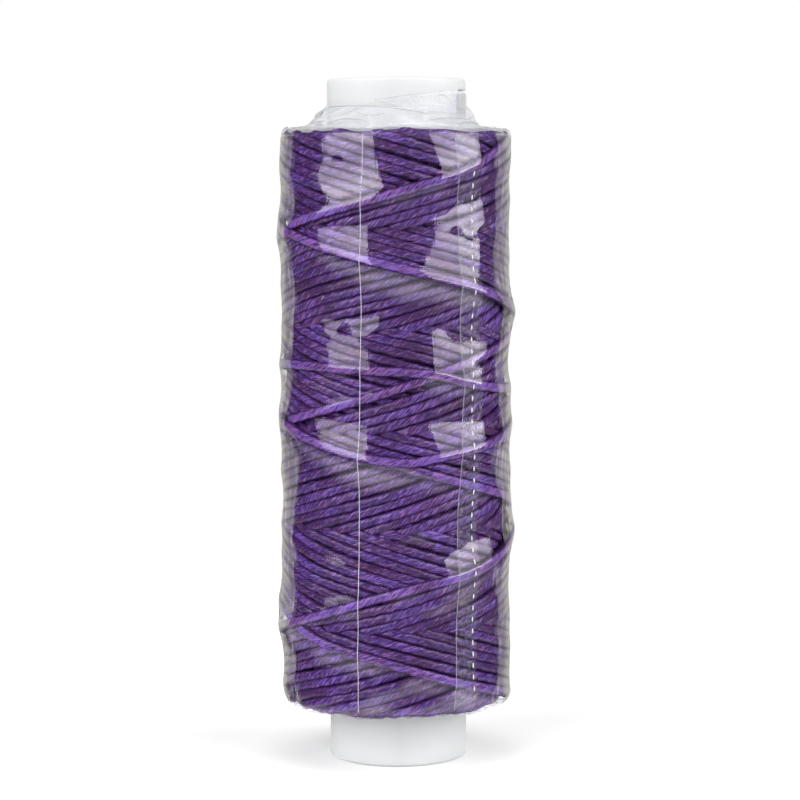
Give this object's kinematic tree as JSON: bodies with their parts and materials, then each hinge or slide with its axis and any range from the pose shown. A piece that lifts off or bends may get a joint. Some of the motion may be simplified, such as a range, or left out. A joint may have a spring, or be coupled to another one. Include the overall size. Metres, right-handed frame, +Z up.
{
  "type": "waxed thread spool",
  "caption": "Cross-wound package of purple waxed thread on a plain white plastic core tube, held in clear shrink film with a perforated tear line and a gathered neck.",
  "frame": {"origin": "centre of the tube's foot, on the surface that the spool stands on", "axes": "+Z up along the tube's axis, -Y towards the viewer, +X to the viewer's right, where the catch slit is"},
  "size_m": [0.0234, 0.0234, 0.069],
  "materials": {
    "tube_plastic": "smooth white translucent moulded plastic",
    "waxed_thread": "twisted polyester thread with a thin coat of wax",
    "clear_film": "clear glossy shrink film with wrinkles"
  },
  "bodies": {
    "root": {"core_tube": "tube_plastic", "thread_inner_layers": "waxed_thread", "thread_outer_turns": "waxed_thread", "shrink_film": "clear_film"}
  },
  "joints": []
}
